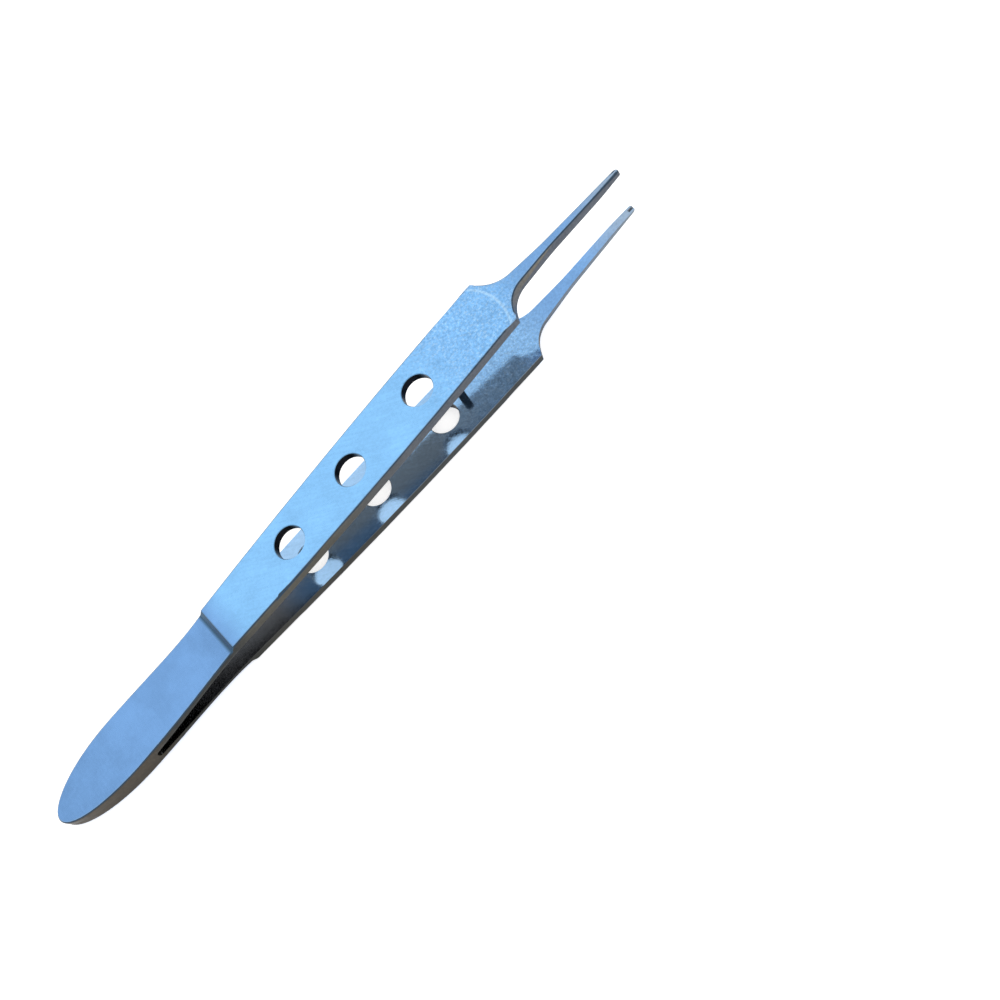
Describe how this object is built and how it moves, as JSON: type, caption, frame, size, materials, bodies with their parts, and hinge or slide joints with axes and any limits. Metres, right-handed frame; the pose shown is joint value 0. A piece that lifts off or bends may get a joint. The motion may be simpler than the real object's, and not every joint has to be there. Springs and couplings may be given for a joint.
{
  "type": "tissue forceps",
  "caption": "Fine tissue forceps: sprung steel arms welded at a rounded butt, a flat pierced handle with a stop pin, and slender jaws that end in interlocking teeth.",
  "frame": {"origin": "middle of the footprint, on the face of the lower arm's handle plate that it rests on", "axes": "+X from the butt to the tips, +Y across the handle, +Z from the lower arm to the upper arm"},
  "size_m": [0.107, 0.0092, 0.0112],
  "materials": {
    "satin_steel": "satin",
    "pin_steel": "satin"
  },
  "bodies": {
    "lower_half": {"lower_arm": "satin_steel", "stop_pin": "pin_steel"},
    "upper_half": {"upper_arm": "satin_steel"}
  },
  "joints": [
    {"name": "arm_spring", "type": "hinge", "parent": "lower_half", "child": "upper_half", "pos_m": [-0.03606, 0, 0.00227], "axis": [0, 1, 0], "range_deg": [0, 4.75], "stiffness_Nm_per_rad": 0.6}
  ]
}
